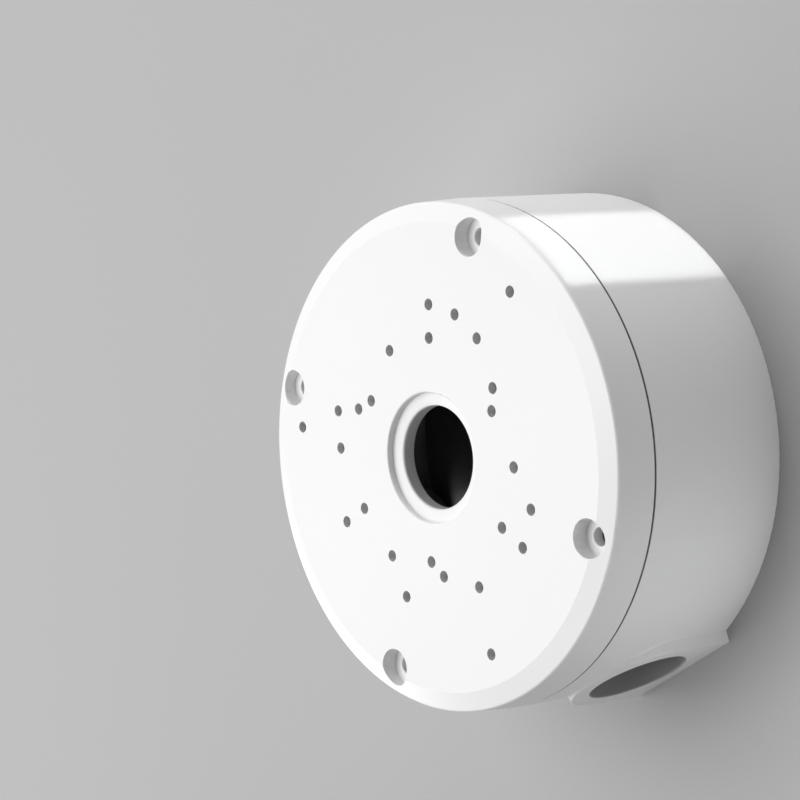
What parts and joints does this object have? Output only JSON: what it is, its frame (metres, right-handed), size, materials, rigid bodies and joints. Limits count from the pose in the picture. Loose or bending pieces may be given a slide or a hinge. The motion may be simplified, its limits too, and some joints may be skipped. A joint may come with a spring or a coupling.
{
  "type": "camera junction box",
  "caption": "Round wall box with a screw-down cover, central cable hole, rings of camera pilot holes and angled conduit ports in its side.",
  "frame": {"origin": "centre of the flat back that lies on the wall", "axes": "+Z along the axis of the case to the cover; the cover screws lie on X and Y; the two ports point 46 degrees either side of -Y"},
  "size_m": [0.14, 0.14, 0.06],
  "materials": {
    "case_plastic": "semi-gloss white moulding",
    "seal_rubber": "black silicone seal",
    "insert_metal": "turned stainless steel"
  },
  "bodies": {
    "root": {"base_housing": "case_plastic", "front_cover": "case_plastic", "cover_gasket": "seal_rubber", "threaded_insert_1": "insert_metal", "threaded_insert_2": "insert_metal", "threaded_insert_3": "insert_metal", "threaded_insert_4": "insert_metal"}
  },
  "joints": []
}
